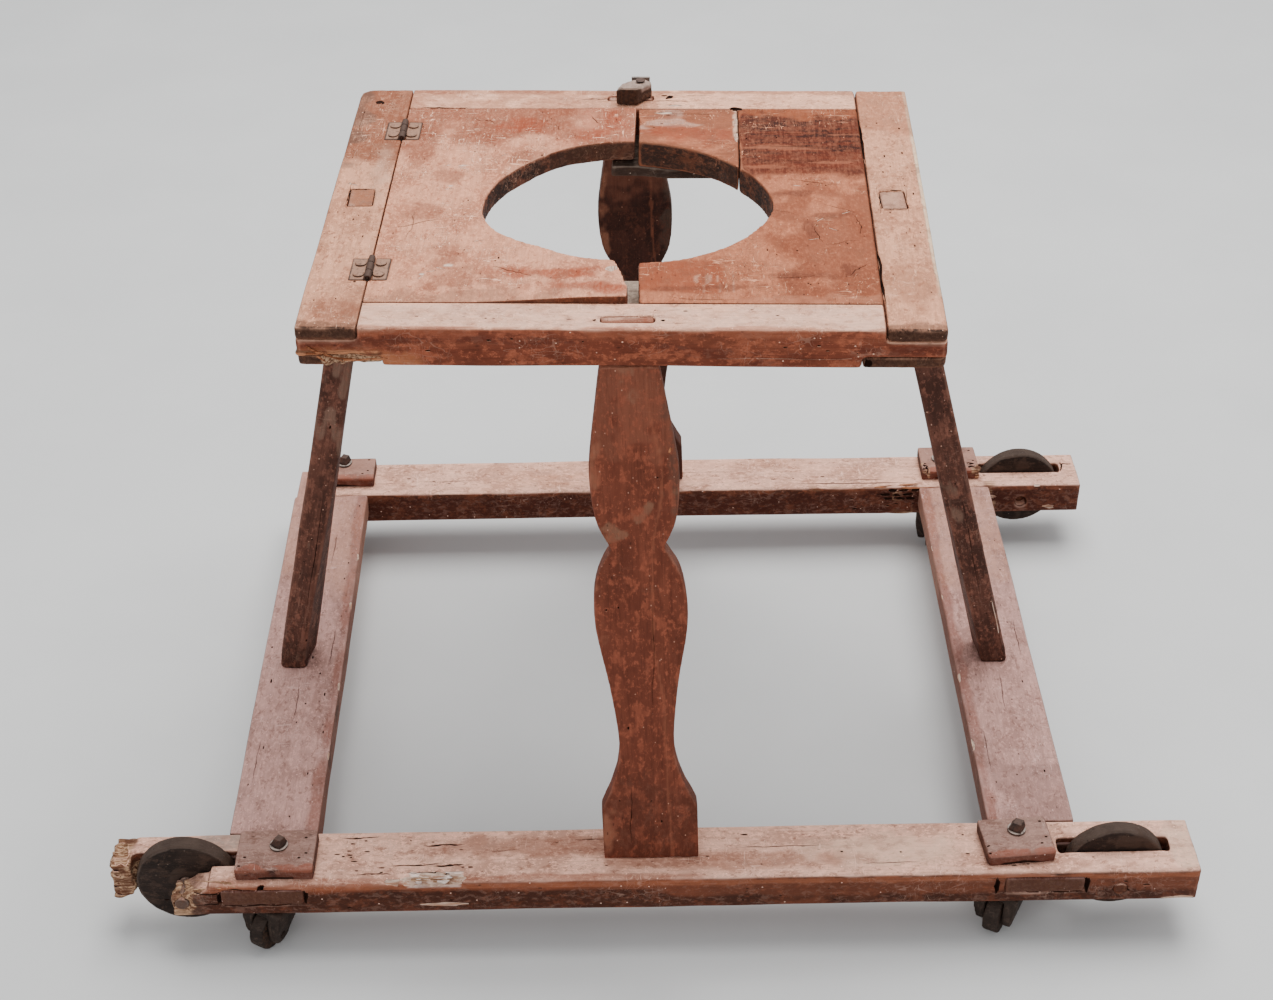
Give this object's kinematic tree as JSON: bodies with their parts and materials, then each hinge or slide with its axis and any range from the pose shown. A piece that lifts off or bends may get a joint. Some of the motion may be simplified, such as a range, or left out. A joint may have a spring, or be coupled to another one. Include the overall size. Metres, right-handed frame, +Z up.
{
  "type": "child walker",
  "caption": "Antique wooden child's walker: base frame on casters and slot wheels, shaped splats and leaning posts, tray with a round opening and a hinged leaf.",
  "frame": {"origin": "on the ground under the middle of the outline", "axes": "+X to the right seen from the front, +Y to the back, +Z up"},
  "size_m": [0.781, 0.5389, 0.4838],
  "materials": {
    "rail_wood": "old softwood, worn varnish, dusty top, wormholes",
    "board_wood": "greyed bare softwood with dust",
    "block_wood": "dark weathered hardwood",
    "splat_wood": "red-brown stained wood, satin varnish",
    "post_wood": "dark stained wood, worn",
    "tray_frame_wood": "red-brown stain worn pale on top",
    "leaf_wood": "worn red-brown stain with scratches and dust",
    "cleat_wood": "rough dark unfinished wood",
    "wheel_wood": "dark weathered turned wood",
    "caster_wood": "dark dirty wood",
    "button_wood": "whittled dark hardwood",
    "hinge_iron": "rusted wrought iron with dust",
    "pin_iron": "dark rusted wrought iron",
    "rove_iron": "dull worn iron washer",
    "strap_iron": "grey sheet iron"
  },
  "bodies": {
    "root": {"base_front_rail": "rail_wood", "base_back_rail": "rail_wood", "base_left_board": "board_wood", "base_right_board": "board_wood", "front_left_corner_block": "block_wood", "front_left_rove": "rove_iron", "front_right_corner_block": "block_wood", "front_right_rove": "rove_iron", "back_left_corner_block": "block_wood", "back_left_rove": "rove_iron", "back_right_corner_block": "block_wood", "back_right_rove": "rove_iron", "front_left_slot_axle": "block_wood", "front_right_slot_axle": "block_wood", "back_right_slot_axle": "block_wood", "front_splat": "splat_wood", "back_splat": "splat_wood", "left_post": "post_wood", "right_post": "post_wood", "tray_front_rail": "tray_frame_wood", "tray_back_rail": "tray_frame_wood", "tray_left_stile": "tray_frame_wood", "tray_right_stile": "tray_frame_wood", "right_leaf": "leaf_wood", "right_leaf_patch": "leaf_wood", "front_cleat": "cleat_wood", "back_cleat": "cleat_wood", "front_hinge_stile_plate": "hinge_iron", "front_hinge_pin": "hinge_iron", "back_hinge_stile_plate": "hinge_iron", "back_hinge_pin": "hinge_iron", "turn_button_nail": "pin_iron", "back_strap": "strap_iron"},
    "left_leaf": {"left_leaf": "leaf_wood", "front_hinge_leaf_plate": "hinge_iron", "back_hinge_leaf_plate": "hinge_iron"},
    "turn_button": {"turn_button": "button_wood"},
    "front_left_slot_wheel": {"front_left_slot_wheel": "wheel_wood"},
    "front_right_slot_wheel": {"front_right_slot_wheel": "wheel_wood"},
    "back_right_slot_wheel": {"back_right_slot_wheel": "wheel_wood"},
    "front_left_caster": {"front_left_caster_fork": "caster_wood", "front_left_caster_pintle": "pin_iron", "front_left_caster_axle": "pin_iron"},
    "front_left_caster_wheel": {"front_left_caster_wheel": "caster_wood"},
    "front_right_caster": {"front_right_caster_fork": "caster_wood", "front_right_caster_pintle": "pin_iron", "front_right_caster_axle": "pin_iron"},
    "front_right_caster_wheel": {"front_right_caster_wheel": "caster_wood"},
    "back_left_caster": {"back_left_caster_fork": "caster_wood", "back_left_caster_pintle": "pin_iron", "back_left_caster_axle": "pin_iron"},
    "back_left_caster_wheel": {"back_left_caster_wheel": "caster_wood"},
    "back_right_caster": {"back_right_caster_fork": "caster_wood", "back_right_caster_pintle": "pin_iron", "back_right_caster_axle": "pin_iron"},
    "back_right_caster_wheel": {"back_right_caster_wheel": "caster_wood"}
  },
  "joints": [
    {"name": "left_leaf_hinge", "type": "hinge", "parent": "root", "child": "left_leaf", "pos_m": [-0.18064, 0.01202, 0.4707], "axis": [-0.0363, -0.9993, 0], "range_deg": [0, 150]},
    {"name": "turn_button_turn", "type": "hinge", "parent": "root", "child": "turn_button", "pos_m": [-0.00004, 0.17257, 0.477], "axis": [0, 0, -1], "range_deg": [-45, 60]},
    {"name": "front_left_slot_wheel_roll", "type": "hinge", "parent": "root", "child": "front_left_slot_wheel", "pos_m": [-0.3381, -0.2294, 0.0476], "axis": [0, 1, 0], "continuous": true},
    {"name": "front_right_slot_wheel_roll", "type": "hinge", "parent": "root", "child": "front_right_slot_wheel", "pos_m": [0.3345, -0.2294, 0.0476], "axis": [0, 1, 0], "continuous": true},
    {"name": "back_right_slot_wheel_roll", "type": "hinge", "parent": "root", "child": "back_right_slot_wheel", "pos_m": [0.3385, 0.2476, 0.0476], "axis": [0, 1, 0], "continuous": true},
    {"name": "front_left_caster_swivel", "type": "hinge", "parent": "root", "child": "front_left_caster", "pos_m": [-0.269, -0.228, 0.036], "axis": [0, 0, 1], "continuous": true},
    {"name": "front_left_caster_roll", "type": "hinge", "parent": "front_left_caster", "child": "front_left_caster_wheel", "pos_m": [-0.281, -0.24879, 0.01487], "axis": [0.866, -0.5, 0], "continuous": true},
    {"name": "front_right_caster_swivel", "type": "hinge", "parent": "root", "child": "front_right_caster", "pos_m": [0.262, -0.224, 0.036], "axis": [0, 0, 1], "continuous": true},
    {"name": "front_right_caster_roll", "type": "hinge", "parent": "front_right_caster", "child": "front_right_caster_wheel", "pos_m": [0.25, -0.24479, 0.01487], "axis": [0.866, -0.5, 0], "continuous": true},
    {"name": "back_left_caster_swivel", "type": "hinge", "parent": "root", "child": "back_left_caster", "pos_m": [-0.2675, 0.255, 0.036], "axis": [0, 0, 1], "continuous": true},
    {"name": "back_left_caster_roll", "type": "hinge", "parent": "back_left_caster", "child": "back_left_caster_wheel", "pos_m": [-0.27764, 0.23325, 0.01487], "axis": [0.9063, -0.4226, 0], "continuous": true},
    {"name": "back_right_caster_swivel", "type": "hinge", "parent": "root", "child": "back_right_caster", "pos_m": [0.2665, 0.248, 0.036], "axis": [0, 0, 1], "continuous": true},
    {"name": "back_right_caster_roll", "type": "hinge", "parent": "back_right_caster", "child": "back_right_caster_wheel", "pos_m": [0.26233, 0.22437, 0.01487], "axis": [0.9848, -0.1736, 0], "continuous": true}
  ]
}
